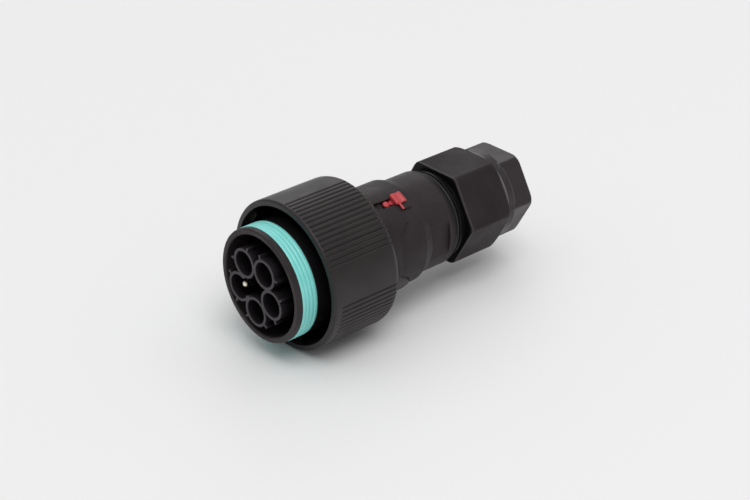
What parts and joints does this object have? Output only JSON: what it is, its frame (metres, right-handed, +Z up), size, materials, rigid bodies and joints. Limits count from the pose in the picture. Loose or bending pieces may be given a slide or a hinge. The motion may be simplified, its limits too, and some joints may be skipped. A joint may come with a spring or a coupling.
{
  "type": "circular cable connector",
  "caption": "Round black plastic cable connector with shrouded contact tubes, a turquoise seal, a ribbed bayonet coupling sleeve, a red locking slide and a hexagonal cable gland.",
  "frame": {"origin": "on the ground below the middle of the connector's length, lying on its coupling sleeve", "axes": "+Y along the axis towards the cable gland, -Y out of the mating face, +Z up"},
  "size_m": [0.0568, 0.1204, 0.0569],
  "materials": {
    "black_housing": "satin",
    "black_sleeve": "satin",
    "black_insert": "satin",
    "black_gland": "satin",
    "turquoise_seal": "matte",
    "red_slide": "satin",
    "black_rubber": "matte",
    "contact_metal": "satin",
    "steel": "satin"
  },
  "bodies": {
    "housing": {"front_housing": "black_housing", "seal_ring": "turquoise_seal", "contact_carrier": "black_insert", "tube_earth": "black_insert", "tube_neutral": "black_insert", "tube_line_3": "black_insert", "tube_line_2": "black_insert", "tube_line_1": "black_insert", "contact_earth": "contact_metal", "contact_neutral": "contact_metal", "contact_line_3": "contact_metal", "contact_line_2": "contact_metal", "contact_line_1": "contact_metal", "terminal_screws": "steel", "contact_retainer": "black_insert", "retainer_screw": "steel", "thrust_washer": "black_insert", "retaining_clip": "steel", "rear_housing": "black_housing", "housing_o_ring": "black_rubber", "gland_body": "black_gland", "gland_o_ring": "black_rubber", "gland_washer": "black_gland", "clamp_cage": "black_gland", "cable_seal": "black_rubber"},
    "sleeve": {"coupling_sleeve": "black_sleeve"},
    "lock": {"locking_slide": "red_slide"},
    "press": {"pressure_ring": "black_gland"},
    "gland_nut": {"pressure_nut": "black_gland"}
  },
  "joints": [
    {"name": "sleeve_turn", "type": "hinge", "parent": "housing", "child": "sleeve", "pos_m": [0, -0.04725, 0.02843], "axis": [0, -1, 0], "range_deg": [0, 75]},
    {"name": "lock_slide", "type": "slide", "parent": "housing", "child": "lock", "axis": [0, -1, 0], "range_m": [0, 0.004]},
    {"name": "press_slide", "type": "slide", "parent": "housing", "child": "press", "axis": [0, 1, 0], "range_m": [0, 0.003]},
    {"name": "nut_turn", "type": "hinge", "parent": "press", "child": "gland_nut", "pos_m": [0, 0.04705, 0.02843], "axis": [0, 1, 0], "range_deg": [0, 720]}
  ],
  "couplings": [
    {"joint": "press_slide", "follows": "nut_turn", "m_per_rad": 0.00023873}
  ]
}
